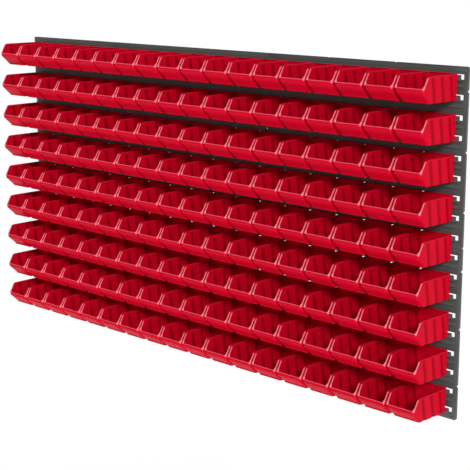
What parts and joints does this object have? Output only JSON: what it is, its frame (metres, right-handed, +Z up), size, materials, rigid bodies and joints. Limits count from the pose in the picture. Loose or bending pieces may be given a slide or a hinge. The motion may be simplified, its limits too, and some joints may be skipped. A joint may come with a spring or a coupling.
{
  "type": "hanging parts bin rack",
  "caption": "Wall rack of moulded louvre boards carrying rows of small open-front parts bins that hook on and lift off.",
  "frame": {"origin": "middle of the rack on the wall plane, which is the middle of the four outer screw holes", "axes": "+X right as seen from the front, +Y into the wall, +Z up"},
  "size_m": [1.491, 0.129, 0.78],
  "materials": {
    "board_plastic": "fine moulded texture, dark anthracite grey",
    "bin_plastic": "smooth semi-gloss moulded polypropylene, saturated red"
  },
  "bodies": {
    "boards": {"board_upper_left": "board_plastic", "board_upper_middle": "board_plastic", "board_upper_right": "board_plastic", "board_lower_left": "board_plastic", "board_lower_middle": "board_plastic", "board_lower_right": "board_plastic"},
    "row_1_bins_left": {"row_1_bins_left": "bin_plastic"},
    "row_1_bins_middle": {"row_1_bins_middle": "bin_plastic"},
    "row_1_bins_right": {"row_1_bins_right": "bin_plastic"},
    "row_1_end_bin": {"row_1_end_bin": "bin_plastic"},
    "row_2_bins_left": {"row_2_bins_left": "bin_plastic"},
    "row_2_bins_middle": {"row_2_bins_middle": "bin_plastic"},
    "row_2_bins_right": {"row_2_bins_right": "bin_plastic"},
    "row_2_end_bin": {"row_2_end_bin": "bin_plastic"},
    "row_3_bins_left": {"row_3_bins_left": "bin_plastic"},
    "row_3_bins_middle": {"row_3_bins_middle": "bin_plastic"},
    "row_3_bins_right": {"row_3_bins_right": "bin_plastic"},
    "row_3_end_bin": {"row_3_end_bin": "bin_plastic"},
    "row_4_bins_left": {"row_4_bins_left": "bin_plastic"},
    "row_4_bins_middle": {"row_4_bins_middle": "bin_plastic"},
    "row_4_bins_right": {"row_4_bins_right": "bin_plastic"},
    "row_4_end_bin": {"row_4_end_bin": "bin_plastic"},
    "row_5_bins_left": {"row_5_bins_left": "bin_plastic"},
    "row_5_bins_middle": {"row_5_bins_middle": "bin_plastic"},
    "row_5_bins_right": {"row_5_bins_right": "bin_plastic"},
    "row_5_end_bin": {"row_5_end_bin": "bin_plastic"},
    "row_6_bins_left": {"row_6_bins_left": "bin_plastic"},
    "row_6_bins_middle": {"row_6_bins_middle": "bin_plastic"},
    "row_6_bins_right": {"row_6_bins_right": "bin_plastic"},
    "row_6_end_bin": {"row_6_end_bin": "bin_plastic"},
    "row_7_bins_left": {"row_7_bins_left": "bin_plastic"},
    "row_7_bins_middle": {"row_7_bins_middle": "bin_plastic"},
    "row_7_bins_right": {"row_7_bins_right": "bin_plastic"},
    "row_7_end_bin": {"row_7_end_bin": "bin_plastic"},
    "row_8_bins_left": {"row_8_bins_left": "bin_plastic"},
    "row_8_bins_middle": {"row_8_bins_middle": "bin_plastic"},
    "row_8_bins_right": {"row_8_bins_right": "bin_plastic"},
    "row_8_end_bin": {"row_8_end_bin": "bin_plastic"},
    "row_9_bins_left": {"row_9_bins_left": "bin_plastic"},
    "row_9_bins_middle": {"row_9_bins_middle": "bin_plastic"},
    "row_9_bins_right": {"row_9_bins_right": "bin_plastic"},
    "row_9_end_bin": {"row_9_end_bin": "bin_plastic"}
  },
  "joints": [
    {"name": "row_1_bins_left_lift", "type": "slide", "parent": "boards", "child": "row_1_bins_left", "axis": [0, 0, 1], "range_m": [0, 0.01]},
    {"name": "row_1_bins_middle_lift", "type": "slide", "parent": "boards", "child": "row_1_bins_middle", "axis": [0, 0, 1], "range_m": [0, 0.01]},
    {"name": "row_1_bins_right_lift", "type": "slide", "parent": "boards", "child": "row_1_bins_right", "axis": [0, 0, 1], "range_m": [0, 0.01]},
    {"name": "row_1_end_bin_lift", "type": "slide", "parent": "boards", "child": "row_1_end_bin", "axis": [0, 0, 1], "range_m": [0, 0.01]},
    {"name": "row_2_bins_left_lift", "type": "slide", "parent": "boards", "child": "row_2_bins_left", "axis": [0, 0, 1], "range_m": [0, 0.01]},
    {"name": "row_2_bins_middle_lift", "type": "slide", "parent": "boards", "child": "row_2_bins_middle", "axis": [0, 0, 1], "range_m": [0, 0.01]},
    {"name": "row_2_bins_right_lift", "type": "slide", "parent": "boards", "child": "row_2_bins_right", "axis": [0, 0, 1], "range_m": [0, 0.01]},
    {"name": "row_2_end_bin_lift", "type": "slide", "parent": "boards", "child": "row_2_end_bin", "axis": [0, 0, 1], "range_m": [0, 0.01]},
    {"name": "row_3_bins_left_lift", "type": "slide", "parent": "boards", "child": "row_3_bins_left", "axis": [0, 0, 1], "range_m": [0, 0.01]},
    {"name": "row_3_bins_middle_lift", "type": "slide", "parent": "boards", "child": "row_3_bins_middle", "axis": [0, 0, 1], "range_m": [0, 0.01]},
    {"name": "row_3_bins_right_lift", "type": "slide", "parent": "boards", "child": "row_3_bins_right", "axis": [0, 0, 1], "range_m": [0, 0.01]},
    {"name": "row_3_end_bin_lift", "type": "slide", "parent": "boards", "child": "row_3_end_bin", "axis": [0, 0, 1], "range_m": [0, 0.01]},
    {"name": "row_4_bins_left_lift", "type": "slide", "parent": "boards", "child": "row_4_bins_left", "axis": [0, 0, 1], "range_m": [0, 0.01]},
    {"name": "row_4_bins_middle_lift", "type": "slide", "parent": "boards", "child": "row_4_bins_middle", "axis": [0, 0, 1], "range_m": [0, 0.01]},
    {"name": "row_4_bins_right_lift", "type": "slide", "parent": "boards", "child": "row_4_bins_right", "axis": [0, 0, 1], "range_m": [0, 0.01]},
    {"name": "row_4_end_bin_lift", "type": "slide", "parent": "boards", "child": "row_4_end_bin", "axis": [0, 0, 1], "range_m": [0, 0.01]},
    {"name": "row_5_bins_left_lift", "type": "slide", "parent": "boards", "child": "row_5_bins_left", "axis": [0, 0, 1], "range_m": [0, 0.01]},
    {"name": "row_5_bins_middle_lift", "type": "slide", "parent": "boards", "child": "row_5_bins_middle", "axis": [0, 0, 1], "range_m": [0, 0.01]},
    {"name": "row_5_bins_right_lift", "type": "slide", "parent": "boards", "child": "row_5_bins_right", "axis": [0, 0, 1], "range_m": [0, 0.01]},
    {"name": "row_5_end_bin_lift", "type": "slide", "parent": "boards", "child": "row_5_end_bin", "axis": [0, 0, 1], "range_m": [0, 0.01]},
    {"name": "row_6_bins_left_lift", "type": "slide", "parent": "boards", "child": "row_6_bins_left", "axis": [0, 0, 1], "range_m": [0, 0.01]},
    {"name": "row_6_bins_middle_lift", "type": "slide", "parent": "boards", "child": "row_6_bins_middle", "axis": [0, 0, 1], "range_m": [0, 0.01]},
    {"name": "row_6_bins_right_lift", "type": "slide", "parent": "boards", "child": "row_6_bins_right", "axis": [0, 0, 1], "range_m": [0, 0.01]},
    {"name": "row_6_end_bin_lift", "type": "slide", "parent": "boards", "child": "row_6_end_bin", "axis": [0, 0, 1], "range_m": [0, 0.01]},
    {"name": "row_7_bins_left_lift", "type": "slide", "parent": "boards", "child": "row_7_bins_left", "axis": [0, 0, 1], "range_m": [0, 0.01]},
    {"name": "row_7_bins_middle_lift", "type": "slide", "parent": "boards", "child": "row_7_bins_middle", "axis": [0, 0, 1], "range_m": [0, 0.01]},
    {"name": "row_7_bins_right_lift", "type": "slide", "parent": "boards", "child": "row_7_bins_right", "axis": [0, 0, 1], "range_m": [0, 0.01]},
    {"name": "row_7_end_bin_lift", "type": "slide", "parent": "boards", "child": "row_7_end_bin", "axis": [0, 0, 1], "range_m": [0, 0.01]},
    {"name": "row_8_bins_left_lift", "type": "slide", "parent": "boards", "child": "row_8_bins_left", "axis": [0, 0, 1], "range_m": [0, 0.01]},
    {"name": "row_8_bins_middle_lift", "type": "slide", "parent": "boards", "child": "row_8_bins_middle", "axis": [0, 0, 1], "range_m": [0, 0.01]},
    {"name": "row_8_bins_right_lift", "type": "slide", "parent": "boards", "child": "row_8_bins_right", "axis": [0, 0, 1], "range_m": [0, 0.01]},
    {"name": "row_8_end_bin_lift", "type": "slide", "parent": "boards", "child": "row_8_end_bin", "axis": [0, 0, 1], "range_m": [0, 0.01]},
    {"name": "row_9_bins_left_lift", "type": "slide", "parent": "boards", "child": "row_9_bins_left", "axis": [0, 0, 1], "range_m": [0, 0.01]},
    {"name": "row_9_bins_middle_lift", "type": "slide", "parent": "boards", "child": "row_9_bins_middle", "axis": [0, 0, 1], "range_m": [0, 0.01]},
    {"name": "row_9_bins_right_lift", "type": "slide", "parent": "boards", "child": "row_9_bins_right", "axis": [0, 0, 1], "range_m": [0, 0.01]},
    {"name": "row_9_end_bin_lift", "type": "slide", "parent": "boards", "child": "row_9_end_bin", "axis": [0, 0, 1], "range_m": [0, 0.01]}
  ]
}
